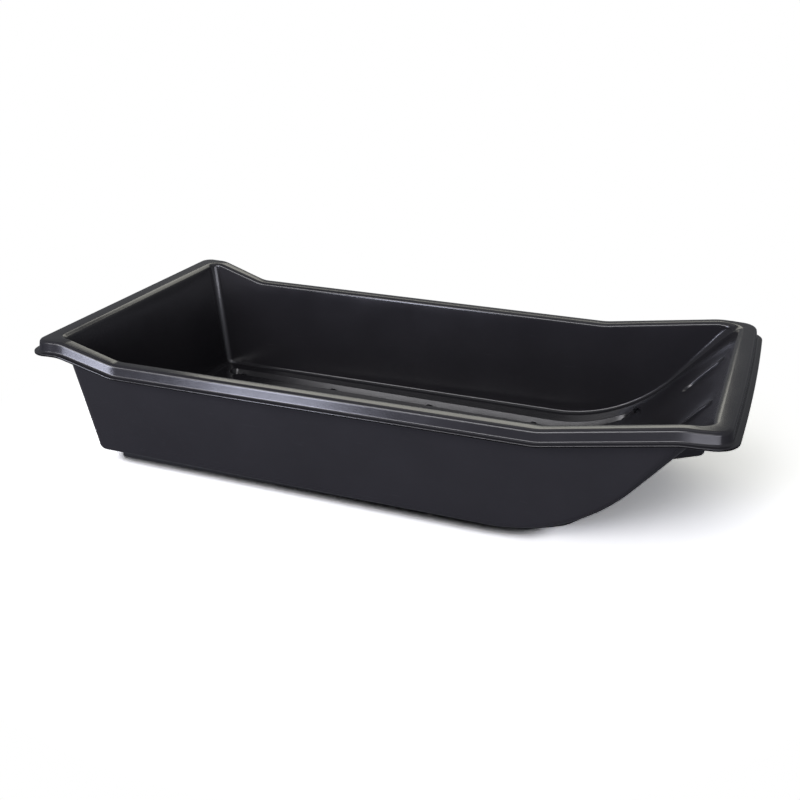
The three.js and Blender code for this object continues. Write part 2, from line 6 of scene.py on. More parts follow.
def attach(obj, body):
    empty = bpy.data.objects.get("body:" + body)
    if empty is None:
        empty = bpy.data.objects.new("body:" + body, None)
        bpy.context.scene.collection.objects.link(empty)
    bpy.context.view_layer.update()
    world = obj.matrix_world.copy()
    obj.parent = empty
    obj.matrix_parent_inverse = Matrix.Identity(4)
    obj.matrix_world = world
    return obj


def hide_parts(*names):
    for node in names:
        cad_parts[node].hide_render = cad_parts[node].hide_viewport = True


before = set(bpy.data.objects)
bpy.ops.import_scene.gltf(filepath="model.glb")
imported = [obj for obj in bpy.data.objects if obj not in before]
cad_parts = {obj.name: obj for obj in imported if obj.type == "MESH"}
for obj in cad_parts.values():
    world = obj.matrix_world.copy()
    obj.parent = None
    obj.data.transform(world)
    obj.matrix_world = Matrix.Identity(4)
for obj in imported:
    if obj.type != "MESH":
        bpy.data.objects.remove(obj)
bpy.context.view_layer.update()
print("frame loaded")

camera = {
    "place": (0.7556, -1.9202, 1.0254),
    "yaw": 23.306,      # degrees, turned to the left of straight across the sled
    "pitch": -21.412,   # degrees, looking down
    "roll": -0.751,
    "lens": 46.028,
    "shift": (0.0338, -0.0452),
}


def addCamera():
    yaw, pitch, roll = (math.radians(camera[k]) for k in ("yaw", "pitch", "roll"))
    ahead = Vector((-math.sin(yaw) * math.cos(pitch), math.cos(yaw) * math.cos(pitch), math.sin(pitch)))
    right = Vector((math.cos(yaw), math.sin(yaw), 0))
    up = right.cross(ahead)
    tilted = right * math.cos(roll) + up * math.sin(roll)
    above = up * math.cos(roll) - right * math.sin(roll)
    bpy.ops.object.camera_add()
    cam = bpy.context.object
    cam.name = "camera"
    cam.matrix_world = Matrix((
        (tilted.x, above.x, -ahead.x, camera["place"][0]),
        (tilted.y, above.y, -ahead.y, camera["place"][1]),
        (tilted.z, above.z, -ahead.z, camera["place"][2]),
        (0, 0, 0, 1)))
    cam.data.lens = camera["lens"]
    cam.data.shift_x, cam.data.shift_y = camera["shift"]
    bpy.context.scene.camera = cam


addCamera()


def linear(hexColour):
    # sRGB hex to the linear values that shaders read
    parts = [int(hexColour[i:i + 2], 16) / 255 for i in (1, 3, 5)]
    return tuple(c / 12.92 if c <= 0.04045 else ((c + 0.055) / 1.055) ** 2.4 for c in parts) + (1.0,)


def addNode(tree, kind, settings=None, inputs=None):
    node = tree.nodes.new(kind)
    for name, value in (settings or {}).items():
        setattr(node, name, value)
    for name, value in (inputs or {}).items():
        if isinstance(value, bpy.types.NodeSocket):
            tree.links.new(value, node.inputs[name])
        else:
            node.inputs[name].default_value = value
    return node


def newMaterial(name):
    mat = bpy.data.materials.new(name)
    mat.use_nodes = True
    mat.node_tree.nodes.clear()
    return mat


# lengths in metres
studio = {
    "floorSize": 40.0,
    "floorCells": 8,
    "floorGain": 2.35,            # the paper is over-exposed, so that only near shade shows on it
    "paperTint": (1, 0.996, 0.965),
    "floorLit": "#86878b",        # what the sled's skin picks up from the paper
    # painted contact shadow: these three set how the paper's colour is darkened near the sled
    "paintedShadowReach": 0.06,         # how near the sled has to be to darken the paper
    "paintedShadowSamples": 16,
    "paintedShadowOpen": (0.17, 0.36),    # how open the paper is where it is black, and where it is fully lit
    "fadeFrom": 0.74,             # how far from the middle the paper starts to fade to white
    "fadeTo": 1.06,
    "dome": "#f2f5fa",
    "domeStrength": 0.25,
}


def whitePaper():
    # the camera sees lit paper, darkened by a painted contact shadow where the sled is near, that fades to
    # white; all else sees plain grey
    mat = newMaterial("paper_sweep_white")
    tree = mat.node_tree
    path = addNode(tree, "ShaderNodeLightPath")
    coords = addNode(tree, "ShaderNodeTexCoord").outputs["Object"]
    away = addNode(tree, "ShaderNodeVectorMath", {"operation": "LENGTH"}, {0: coords})
    fade = addNode(tree, "ShaderNodeMapRange", {"interpolation_type": "SMOOTHSTEP"}, {
        "Value": away.outputs["Value"], "From Min": studio["fadeFrom"], "From Max": studio["fadeTo"]})
    # painted contact shadow: ambient occlusion darkens the paper's colour near the sled
    paintedShadow = addNode(tree, "ShaderNodeAmbientOcclusion", {"samples": studio["paintedShadowSamples"]}, {
        "Distance": studio["paintedShadowReach"]})
    black, full = studio["paintedShadowOpen"]
    gain = addNode(tree, "ShaderNodeMapRange", inputs={
        "Value": paintedShadow.outputs["AO"], "From Min": black, "From Max": full,
        "To Min": 0.0, "To Max": studio["floorGain"]})
    paper = addNode(tree, "ShaderNodeVectorMath", {"operation": "SCALE"}, {
        0: studio["paperTint"], "Scale": gain.outputs[0]})
    near = addNode(tree, "ShaderNodeBsdfDiffuse", inputs={"Color": paper.outputs[0]})
    white = addNode(tree, "ShaderNodeEmission", inputs={"Strength": 1.0})
    seen = addNode(tree, "ShaderNodeMixShader", inputs={
        0: fade.outputs[0], 1: near.outputs[0], 2: white.outputs[0]})
    lit = addNode(tree, "ShaderNodeBsdfDiffuse", inputs={"Color": linear(studio["floorLit"])})
    both = addNode(tree, "ShaderNodeMixShader", inputs={
        0: path.outputs["Is Camera Ray"], 1: lit.outputs[0], 2: seen.outputs[0]})
    addNode(tree, "ShaderNodeOutputMaterial", inputs={"Surface": both.outputs[0]})
    return mat


def addFloor():
    # a white paper sweep: it keeps the sled's shadow from the lamps, adds a painted contact shadow close
    # under it, and runs out to plain white all round
    cells = studio["floorCells"]
    bpy.ops.mesh.primitive_grid_add(
        x_subdivisions=cells, y_subdivisions=cells, size=studio["floorSize"], location=(0, 0, 0))
    floor = bpy.context.object
    floor.name = "studioFloor"
    floor.data.materials.append(whitePaper())


def addDome():
    # the camera sees plain white, the sled a faint cool dome
    world = bpy.data.worlds.new("studio_dome")
    bpy.context.scene.world = world
    world.use_nodes = True
    tree = world.node_tree
    tree.nodes.clear()
    path = addNode(tree, "ShaderNodeLightPath")
    white = addNode(tree, "ShaderNodeBackground", inputs={"Color": (1, 1, 1, 1), "Strength": 1.0})
    dome = addNode(tree, "ShaderNodeBackground", inputs={
        "Color": linear(studio["dome"]), "Strength": studio["domeStrength"]})
    both = addNode(tree, "ShaderNodeMixShader", inputs={
        0: path.outputs["Is Camera Ray"], 1: dome.outputs[0], 2: white.outputs[0]})
    addNode(tree, "ShaderNodeOutputWorld", inputs={"Surface": both.outputs[0]})
    bpy.context.scene.view_settings.view_transform = "Standard"


addFloor()
addDome()

# each lamp: where it stands, where it points, its size in metres and its power in watts
lamps = {
    "overhead": {
        "at": (0.1, 0.15, 2.7), "to": (0, 0, 0.1),
        "size": (2.4, 1.8), "watts": 5, "colour": "#ffffff"},
    "window": {
        "at": (-1.29, -3.93, 2.4), "to": (0, 0.28, 0.05),
        "size": (3.7, 1.5), "watts": 112, "colour": "#fcfbff"},
    "rightFill": {
        "at": (1.3, -4.2, 2.2), "to": (0, 0, 0.2),
        "size": (1.2, 1.2), "watts": 10, "colour": "#ffffff"},
    "lowLeft": {
        "at": (-1.27, -2.7, 0.64), "to": (-0.2, -0.33, 0.26),
        "size": (0.62, 0.92), "watts": 31, "colour": "#e6e9ff"},
    "lowRight": {
        "at": (1.85, -2.75, 0.58), "to": (0.68, -0.3, 0.28),
        "size": (2.6, 0.86), "watts": 28, "colour": "#f2f2ff"},
    "backStrip": {
        "at": (-0.5, 1.62, 1.35), "to": (0.0, -0.33, 0.26),
        "size": (2.1, 0.7), "watts": 9.4, "colour": "#fffdf0"},
}


def addLamps():
    for name, lamp in lamps.items():
        direction = Vector(lamp["to"]) - Vector(lamp["at"])
        turn = direction.to_track_quat("-Z", "Y").to_euler()
        bpy.ops.object.light_add(type="AREA", location=lamp["at"], rotation=turn)
        light = bpy.context.object
        light.name = name
        light.data.shape = "RECTANGLE"
        light.data.size, light.data.size_y = lamp["size"]
        light.data.energy = lamp["watts"]
        light.data.color = linear(lamp["colour"])[:3]
        light.visible_camera = False


addLamps()
print("camera, floor and lamps ready")


def finishMaterial(mat, shader, bumps):
    # each bump is a height socket, a strength and a height in metres, and lies on the one before
    tree = mat.node_tree
    normal = None
    for height, strength, distance in bumps:
        settings = {"Height": height, "Strength": strength, "Distance": distance}
        if normal:
            settings["Normal"] = normal
        normal = addNode(tree, "ShaderNodeBump", inputs=settings).outputs[0]
    if normal:
        tree.links.new(normal, shader.inputs["Normal"])
    addNode(tree, "ShaderNodeOutputMaterial", inputs={"Surface": shader.outputs[0]})


def noise(tree, vector, scale, detail, roughness):
    return addNode(tree, "ShaderNodeTexNoise", inputs={
        "Vector": vector, "Scale": scale, "Detail": detail, "Roughness": roughness}).outputs["Fac"]


def blend(tree, share, first, second):
    # a colour mix node has its two colours in sockets 6 and 7, and the mixed one comes out of 2
    node = addNode(tree, "ShaderNodeMix", {"data_type": "RGBA"}, {"Factor": share, 6: first, 7: second})
    return node.outputs[2]


def mouldedPolyethylene():
    # black polyethylene sheet drawn over a mould: satin, waxy, with a fine haircell skin,
    # soft unevenness, a few pale rubs, and a painted highlight: paler colour down the two rear inner corners
    mat = newMaterial("thermoformed_black_polyethylene")
    tree = mat.node_tree
    coords = addNode(tree, "ShaderNodeTexCoord").outputs["Object"]
    drawn = noise(tree, coords, scale=7.0, detail=3.0, roughness=0.5)
    skin = noise(tree, coords, scale=520.0, detail=2.0, roughness=0.55)
    ripple = noise(tree, coords, scale=24.0, detail=2.0, roughness=0.4)
    along = addNode(tree, "ShaderNodeMapping", inputs={"Vector": coords, "Scale": (5.0, 60.0, 60.0)})
    rubs = noise(tree, along.outputs[0], scale=3.0, detail=6.0, roughness=0.7)
    rubMask = addNode(tree, "ShaderNodeMapRange", inputs={
        "Value": rubs, "From Min": 0.62, "From Max": 0.82, "To Min": 0.0, "To Max": 1.0})
    base = blend(tree, drawn, linear("#232225"), linear("#2a292d"))
    worn = blend(tree, rubMask.outputs[0], base, linear("#313034"))
    # painted highlight: the colour blends to pale grey where the mesh is marked
    paintedHighlight = addNode(tree, "ShaderNodeAttribute", {"attribute_name": "painted_highlight"})
    colour = blend(tree, paintedHighlight.outputs["Fac"], worn, linear("#58585c"))
    rough = addNode(tree, "ShaderNodeMapRange", inputs={
        "Value": drawn, "From Min": 0.3, "From Max": 0.7, "To Min": 0.15, "To Max": 0.22})
    roughWorn = addNode(tree, "ShaderNodeMath", {"operation": "MULTIPLY_ADD"}, {
        0: rubMask.outputs[0], 1: 0.1, 2: rough.outputs[0]})
    shader = addNode(tree, "ShaderNodeBsdfPrincipled", inputs={
        "Base Color": colour, "Roughness": roughWorn.outputs[0], "IOR": 1.53})
    finishMaterial(mat, shader, [
        (ripple, 0.25, 0.0006),
        (skin, 0.3, 0.00012)])
    return mat


def wearPlastic():
    # extruded wear-grade polyethylene: duller than the tub, with fine scores along its run
    mat = newMaterial("extruded_wear_polyethylene")
    tree = mat.node_tree
    coords = addNode(tree, "ShaderNodeTexCoord").outputs["Object"]
    along = addNode(tree, "ShaderNodeMapping", inputs={"Vector": coords, "Scale": (3.0, 420.0, 420.0)})
    scores = noise(tree, along.outputs[0], scale=1.0, detail=5.0, roughness=0.65)
    colour = blend(tree, scores, linear("#131315"), linear("#242427"))
    rough = addNode(tree, "ShaderNodeMapRange", inputs={
        "Value": scores, "From Min": 0.3, "From Max": 0.7, "To Min": 0.42, "To Max": 0.6})
    shader = addNode(tree, "ShaderNodeBsdfPrincipled", inputs={
        "Base Color": colour, "Roughness": rough.outputs[0], "IOR": 1.53})
    finishMaterial(mat, shader, [(scores, 0.35, 0.0002)])
    return mat


def blackenedSteel():
    # black-oxide steel: near black with a faint sheen and a fine mottle
    mat = newMaterial("black_oxide_steel")
    tree = mat.node_tree
    coords = addNode(tree, "ShaderNodeTexCoord").outputs["Object"]
    grain = noise(tree, coords, scale=900.0, detail=3.0, roughness=0.6)
    colour = blend(tree, grain, linear("#26262a"), linear("#4a4b50"))
    shader = addNode(tree, "ShaderNodeBsdfPrincipled", inputs={
        "Base Color": colour, "Roughness": 0.38, "Metallic": 1.0})
    finishMaterial(mat, shader, [(grain, 0.2, 0.00005)])
    return mat


# how many cells a stretch of the mesh is drawn with
facets = {
    "rearWall": 7,
    "heel": 7,
    "floor": 18,
    "nose": 36,
    "noseTop": 4,
    "fillet": 8,
    "sidePanel": 10,
    "channelRound": 5,
    "pocketOutside": (8, 8),    # along the sole and up the front
    "pocketInside": (3, 4),
    "toe": 5,
    "innerRound": 8,
    "lipEdge": 7,
    "lipFoot": 6,
    "lipTip": 3,
    "cappedRows": 5,
    "hole": 64,
    "turnedScrew": 48,
    "turnedNut": 96,
    "brokenEdge": 2,
    "barEnd": 6,
    "barEdge": 3,
}

# cells along the rim are shared out by weight: a kink's own, and between kinks one for each pitch
rimWeights = {"kink": 6.0, "pitch": 14.0, "least": 2.0, "leastCells": 2}

# metres within which vertices weld, and degrees up to which an edge counts as smooth
making = {"weld": 0.00002, "tubSmooth": 40.0, "pieceSmooth": 35.0}

# Millimetres: x forward from the rim's rear edge, z up from the flat underside.
tub = {
    "length": 1400.0,
    "wall": 5.0,
    "screwStations": [158.0, 418.667, 679.333, 940.0, 1190.0],
    "screwHole": 6.6,
    "screwCut": 30.0,
    "middleColumns": (0.0, 50.0),
    "betweenColumns": (158.0, 182.0),    # the floor between a pocket's line and a keel
    "standsAt": 27.3,          # the underside's height above the ground
    "rimHeights": [(0, 268), (63, 268), (184, 232), (1074, 232), (1318, 271), (1400, 271)],
    "rimHalves": [(0, 341), (63, 338.5), (184, 328.5), (1074, 316.5), (1318, 303.5), (1400, 299)],
    "kinkEase": 12.0,
    "rearCorner": 26.0,
    "frontCorner": 34.0,
    "frontBow": 4.0,
    "lipHeight": 29.0,
    "lipOutset": 14.0,
    "lipLean": 9.0,            # degrees
    "edgeRound": 8.0,
    "footRound": 5.0,
    "tipRound": 1.5,
    "wellTops": [(42, 306), (1074, 289), (1400, 272.8)],
    "wellFoot": 279.5,
    "footHeight": 20.0,
    "rearTop": 42.0,
    "rearFoot": 89.0,
    "heelRound": 14.0,
    "floorRound": 8.0,
    "rearCornerRound": 18.0,
    "frontCornerRound": 26.0,
    "rimDrops": (10.0, 8.0, 5.0),   # rear, side and front: where the well meets the rim's inner round
    "noseStart": 975.0,
    "noseRound": 349.0,
    "noseAngle": 48.5,         # degrees
    "frontInnerRun": 15.0,     # how far the well's edge goes on past the rim's front kink
    "capStep": 1.2,            # how much lower each capped row below the sill ends
}

keel = {
    "rear": 118.0,
    "half": 19.5,
    "depth": 14.0,
    "fade": (1122.0, 1181.0),
    "lines": (229.5, 207.5),   # distance from the middle at the rear and at the nose
    "front": 1188.0,
    "runShares": (-0.03, 1.2),     # how far its line runs on past both ends
    "gatherShare": 0.12,           # how near its middle the columns draw in behind its round end
    "endAngles": (50, 65, 80),     # degrees round that end where rows lie
    "leastStep": 0.35,
}

pocket = {
    "middle": 118.5,
    "soleStation": 1256.0,
    "crownStation": 1441.0,
    "ledgeStation": 1331.0,     # inside, the pocket starts at a ledge higher up the nose
    "ledgeRise": 8.0,           # degrees
    "toe": (1345.0, 147.5),
    "toeRound": 12.0,
    "pin": (1327.0, 162.0),
    "pinHole": 13.0,
    "pinCut": 60.0,
    "leastDepth": 0.01,
}

# grooves and pockets: how many degrees off upright their rounds run out, the least flat left between
# the rounds, and where the column between the foot and the middle stands
channel = {"draft": 6.0, "leastFlat": 1.0, "middleShare": 0.5}

noseAngle = math.radians(tub["noseAngle"])


def toFrame(point):
    return Vector(((point.x - tub["length"] / 2) / 1000, point.y / 1000, (point.z + tub["standsAt"]) / 1000))


def alongKinks(x, kinks):
    i = 1
    while i + 1 < len(kinks) and x > kinks[i][0]:
        i += 1
    (x0, v0), (x1, v1) = kinks[i - 1], kinks[i]
    return v0 + (v1 - v0) * (x - x0) / (x1 - x0)


def eased(x, kinks):
    ease = tub["kinkEase"]
    for at, value in kinks[1:-1]:
        if abs(x - at) < ease:
            t = (x - at + ease) / (2 * ease)
            before, after = alongKinks(at - ease, kinks), alongKinks(at + ease, kinks)
            return (1 - t) ** 2 * before + 2 * t * (1 - t) * value + t ** 2 * after
    return alongKinks(x, kinks)


def rimHeight(x):
    return eased(x, tub["rimHeights"])


def rimHalf(x):
    return eased(x, tub["rimHalves"])


def wellHalf(x, z):
    share = (z - tub["footHeight"]) / (tub["rimHeights"][0][1] - tub["footHeight"])
    return tub["wellFoot"] + (alongKinks(x, tub["wellTops"]) - tub["wellFoot"]) * share


def floorPlace(station, depth):
    # a place on the floor line at a depth below the underside, and the way that faces down there
    radius = tub["noseRound"]
    arc = radius * noseAngle
    turn = min(max(station - tub["noseStart"], 0), arc) / radius
    beyond = max(station - tub["noseStart"] - arc, 0)
    down = Vector((math.sin(turn), -math.cos(turn)))
    ahead = Vector((math.cos(turn), math.sin(turn)))
    at = Vector((min(station, tub["noseStart"]), radius)) + down * (radius + depth) + ahead * beyond
    return at, down


def mix(a, b, t):
    return a + (b - a) * t


def spread(start, end, count):
    return [mix(start, end, i / count) for i in range(count + 1)]


def keelLine(station):
    share = (station - keel["rear"]) / (keel["front"] - keel["rear"])
    least, most = keel["runShares"]
    share = min(max(share, least), most)
    return mix(keel["lines"][0], keel["lines"][1], share)


def keelDepth(station):
    start, end = keel["fade"]
    t = min(max((station - start) / (end - start), 0), 1)
    return keel["depth"] * (1 - t * t * (3 - 2 * t))


def channelSection(half, edge, foot, lean, depth):
    # half of a groove's cross-section from its outer edge to its middle, as (reach, depth) pairs
    full = max(depth, edge + foot + channel["leastFlat"])
    draft, steps = channel["draft"], facets["channelRound"]
    points = [(half + edge - edge * math.sin(a), edge - edge * math.cos(a))
              for a in spread(0, math.radians(90 - draft), steps)]
    centre = (half - lean - foot, full - foot)
    points += [(centre[0] + foot * math.cos(a), centre[1] + foot * math.sin(a))
               for a in spread(math.radians(draft), math.pi / 2, steps)]
    points.append((centre[0] * channel["middleShare"], full))
    return [(reach, down * depth / full) for reach, down in points]


# inside and outside of a keel and of a pocket: half width, edge round, foot round, lean of its walls
keelSkins = {0: (16.0, 2.0, 2.0, 7.0), 1: (19.5, 2.0, 4.0, 1.5)}
pocketSkins = {0: (12.5, 3.0, 2.0, 5.5), 1: (14.5, 2.0, 3.0, 0.0)}
channelColumns = len(channelSection(*keelSkins[0], keel["depth"]))


def keelOffset(station, column, outer):
    # how far a keel column stands from the keel's line, and how deep it is there
    fade = keelDepth(station) / keel["depth"]
    half, edge, foot, lean = keelSkins[outer]
    section = channelSection(half, edge, foot, lean * fade, keel["depth"])
    reach = section[column][0] if column < len(section) else 0.0
    short = keel["rear"] + keel["half"] - station
    if short > 0:
        reach = max(math.sqrt(max(reach ** 2 - short ** 2, 0)), keel["gatherShare"] * reach)
    away = math.hypot(reach, max(short, 0))
    if away >= section[0][0]:
        return reach, 0.0
    for (r0, d0), (r1, d1) in zip(section, section[1:]):
        if r1 <= away <= r0:
            return reach, fade * (d0 if r0 == r1 else mix(d1, d0, (away - r1) / (r0 - r1)))
    return reach, fade * keel["depth"]


def lineMeet(a, alongA, b, alongB):
    cross = alongA.x * alongB.y - alongA.y * alongB.x
    gap = b - a
    return a + alongA * ((gap.x * alongB.y - gap.y * alongB.x) / cross)


def pocketPath(inset, soleCount, frontCount):
    # a pocket's side view from where its sole starts to its crown, and the crown's station
    toe = Vector(pocket["toe"])
    root = floorPlace(pocket["soleStation"], 0)[0]
    crown = floorPlace(pocket["crownStation"], 0)[0]
    sole = (toe - root).normalized()
    front = (crown - toe).normalized()
    soleAt = root + Vector((-sole.y, sole.x)) * inset
    frontAt = toe + Vector((-front.y, front.x)) * inset
    if inset:
        soleAt = floorPlace(pocket["ledgeStation"], -inset)[0]
        rise = math.radians(pocket["ledgeRise"])
        sole = Vector((math.cos(rise), math.sin(rise)))
    corner = lineMeet(soleAt, sole, frontAt, front)
    slopeAt = floorPlace(pocket["crownStation"], -inset)[0]
    slope = Vector((math.cos(noseAngle), math.sin(noseAngle)))
    end = lineMeet(frontAt, front, slopeAt, slope)
    startStation = pocket["ledgeStation"] if inset else pocket["soleStation"]
    start = floorPlace(startStation, -inset)[0]
    reach = (pocket["toeRound"] - inset) * math.tan(sole.angle(front) / 2)
    before, after = corner - sole * reach, corner + front * reach
    path = [start.lerp(before, t) for t in spread(0, 1, soleCount)]
    path += [before * (1 - t) ** 2 + corner * (2 * t * (1 - t)) + after * t ** 2
             for t in spread(0, 1, facets["toe"])[1:]]
    path += [after.lerp(end, t) for t in spread(0, 1, frontCount)[1:]]
    return path, pocket["crownStation"] + (end - slopeAt).dot(slope)


def pairPocketPaths():
    # the inside starts later than the outside: its first points lie flat on the nose,
    # and close the pocket over below its ledge
    outer, outerEnd = pocketPath(0.0, *facets["pocketOutside"])
    inner, innerEnd = pocketPath(tub["wall"], *facets["pocketInside"])
    stations = spread(pocket["soleStation"], innerEnd, len(outer) - 1)
    bare = [floorPlace(s, -tub["wall"])[0] for s in stations[:len(outer) - len(inner)]]
    outerStations = spread(pocket["soleStation"], outerEnd, len(outer) - 1)
    return {0: list(zip(bare + inner, stations)), 1: list(zip(outer, outerStations))}


pocketPaths = pairPocketPaths()


def rearRows():
    # rows from the top of the rear wall down to where the heel runs out on the floor
    wall, heel = tub["wall"], tub["heelRound"]
    rearUp = Vector((tub["rearTop"] - tub["rearFoot"], tub["rimHeights"][0][1] - wall)).normalized()
    rearOut = Vector((-rearUp.y, rearUp.x))
    topHeight = tub["rimHeights"][0][1] - tub["rimDrops"][0]
    heelTurn = math.acos(-rearUp.x)
    heelCentre = Vector((tub["rearFoot"] + heel * math.tan(heelTurn / 2), wall + heel))
    heelTop = heelCentre.y - heel * math.cos(heelTurn)
    rows = []
    for t in spread(0, 1, facets["rearWall"])[:-1]:
        height = mix(topHeight, heelTop, t)
        at = Vector((tub["rearFoot"], wall)) + rearUp * ((height - wall) / rearUp.y)
        corner = mix(tub["rearCornerRound"], heel, t)
        rows.append({"at": at, "out": rearOut, "round": corner, "station": 0.0})
    for turn in spread(heelTurn, 0, facets["heel"]):
        out = Vector((-math.sin(turn), -math.cos(turn)))
        corner = mix(tub["floorRound"], heel, turn / heelTurn)
        rows.append({"at": heelCentre + out * heel, "out": out, "round": corner, "station": 0.0})
    return rows


def keelEndStations():
    # stations crowded where the round rear ends of the keels turn, up to where that end's centre is
    centre = keel["rear"] + keel["half"]
    shorts = set()
    for skin in keelSkins.values():
        section = channelSection(*skin, keel["depth"])
        shorts.update(round(reach, 2) for reach, _ in section[:-1])
        shorts.update(round(skin[0] * math.cos(math.radians(a)), 2) for a in keel["endAngles"])
    kept = []
    for station in [centre - short for short in sorted(shorts, reverse=True)] + [centre]:
        if not kept or station - kept[-1] > keel["leastStep"]:
            kept.append(station)
    return kept


def wellRows():
    # rows across the well, from the top of the rear wall down, along the floor and up the nose
    wall = tub["wall"]
    sillHeight, sideDrop = tub["rimHeights"][-1][1], tub["rimDrops"][1]
    rows = rearRows()
    stations = keelEndStations()
    stations += spread(keel["rear"] + keel["half"], tub["noseStart"], facets["floor"])[1:]
    arcEnd = tub["noseStart"] + tub["noseRound"] * noseAngle
    firstPocket = pocketPaths[0][0][1]
    lastPocket = pocketPaths[0][-1][1]
    stations += spread(tub["noseStart"], firstPocket, facets["nose"])[1:-1]
    pocketStart = len(rows) + len(stations)
    pocketCount = len(pocketPaths[0])
    stations += spread(firstPocket, lastPocket, pocketCount - 1)
    rise = sillHeight - tub["rimDrops"][2] - floorPlace(arcEnd, -wall)[0].y
    topStation = arcEnd + rise / math.sin(noseAngle)
    stations += spread(lastPocket, topStation, facets["noseTop"])[1:]
    for station in stations:
        at, down = floorPlace(station, -wall)
        t = min(max((station - arcEnd) / (topStation - arcEnd), 0), 1)
        corner = mix(tub["floorRound"], tub["frontCornerRound"], t)
        rows.append({"at": at, "out": down, "round": corner, "station": station})
    for i in range(pocketCount):
        rows[pocketStart + i]["pocket"] = i
    # below the sill the rows' ends stay under the top of the side wall
    for i in range(1, facets["cappedRows"] + 1):
        rows[-1 - i]["cap"] = sillHeight - sideDrop - tub["capStep"] * i
    rows[0]["levels"] = (rimHeight(0), tub["rimDrops"][0], sideDrop)
    rows[-1]["levels"] = (rimHeight(tub["length"]), tub["rimDrops"][2], sideDrop)
    return rows


def channelAcross(kind):
    # a channel's columns: down one side to its middle, and up the other
    return ([(kind, -k) for k in range(0, channelColumns + 1)]
            + [(kind, channelColumns + 1 - k) for k in range(1, channelColumns + 1)])


# Columns across half of the well, from the middle out: each is a kind and a number.
halfColumns = (
    [("flat", y) for y in tub["middleColumns"]]
    + channelAcross("pocket")
    + [("flat", y) for y in tub["betweenColumns"]]
    + channelAcross("keel")
    + [("fillet", t) for t in spread(0, math.pi / 2, facets["fillet"])]
)


def columnParts(number):
    # a signed column number to its side of the channel's middle and its place in the section
    if number > 0:
        return 1, number - 1
    return -1, -number


def pocketPlace(index, place, outer):
    # in side view, where a column stands on its way down into a pocket
    point, station = pocketPaths[outer][index]
    top = floorPlace(station, tub["wall"] * (outer - 1))[0]
    deep = (point - top).length
    if deep <= pocket["leastDepth"]:
        return top
    section = channelSection(*pocketSkins[outer], deep)
    return top.lerp(point, section[place][1] / deep if place < len(section) else 1.0)


def wellPoint(row, column, side, outer):
    # a point of the well's inner or outer skin, and how far round the fillet it is
    kind, number = column
    skin = tub["wall"] * outer
    radius = row["round"]
    wallAt = row["at"] - row["out"] * radius
    half = wellHalf(wallAt.x, wallAt.y)
    turn = 0.0
    depth = 0.0
    base = row["at"]
    if kind == "flat":
        y = number
    elif kind == "keel":
        hand, place = columnParts(number)
        reach, depth = keelOffset(row["station"], place, outer)
        y = keelLine(row["station"]) + hand * reach
    elif kind == "pocket":
        hand, place = columnParts(number)
        section = channelSection(*pocketSkins[outer], keel["depth"])
        reach = section[place][0] if place < len(section) else 0.0
        y = pocket["middle"] + hand * reach
        if "pocket" in row:
            at = pocketPlace(row["pocket"], place, outer)
            return Vector((at.x, side * y, at.y)), turn
    else:
        turn = number
        y = half - radius + (radius + skin) * math.sin(turn)
    lift = (radius + skin) * math.cos(turn) - radius + depth
    at = base + row["out"] * lift
    up = Vector((row["out"].y, -row["out"].x))
    if "cap" in row and at.y > row["cap"]:
        at = at + up * ((row["cap"] - at.y) / up.y)
    if "levels" in row:
        height, middle, edge = row["levels"]
        drop = mix(middle, edge, turn / (math.pi / 2))
        inner = base.y + row["out"].y * (radius * math.cos(turn) - radius)
        at = at + up * ((height - drop - inner) / up.y)
    return Vector((at.x, side * y, at.y)), turn


def wellNormal(row, side, turn):
    out = row["out"]
    return Vector((out.x * math.cos(turn), side * math.sin(turn), out.y * math.cos(turn)))


def rimStations(count):
    # stations along one side of the rim: crowded where it kinks, even between
    ease = tub["kinkEase"]
    kinks = [x for x, _ in tub["rimHeights"][1:-1]]
    start, end = tub["rearCorner"], tub["length"] - tub["frontBow"] - tub["frontCorner"]
    spans = []
    at = start
    for kink in kinks:
        spans += [(at, kink - ease), (kink - ease, kink + ease)]
        at = kink + ease
    spans.append((at, end))
    weights = [rimWeights["kink"] if i % 2 else max((b - a) / rimWeights["pitch"], rimWeights["least"])
               for i, (a, b) in enumerate(spans)]
    total = count + 1
    shares = [max(int(w / sum(weights) * total), rimWeights["leastCells"]) for w in weights]
    shares[shares.index(max(shares))] += total - sum(shares)
    stations = [start]
    for (a, b), steps in zip(spans, shares):
        stations += spread(a, b, steps)[1:]
    return stations[1:-1]


def innerStation(outer):
    # the well's edge starts later and ends sooner than the rim's corner
    rearEnd = tub["rimHeights"][1][0] + tub["kinkEase"]
    frontEnd = tub["rimHeights"][-2][0] + tub["kinkEase"]
    if outer < rearEnd:
        share = (outer - tub["rearCorner"]) / (rearEnd - tub["rearCorner"])
        return mix(tub["rearTop"] + tub["rearCornerRound"], rearEnd, share)
    if outer > frontEnd:
        last = tub["length"] - tub["frontBow"] - tub["frontCorner"]
        return mix(frontEnd, frontEnd + tub["frontInnerRun"], (outer - frontEnd) / (last - frontEnd))
    return outer


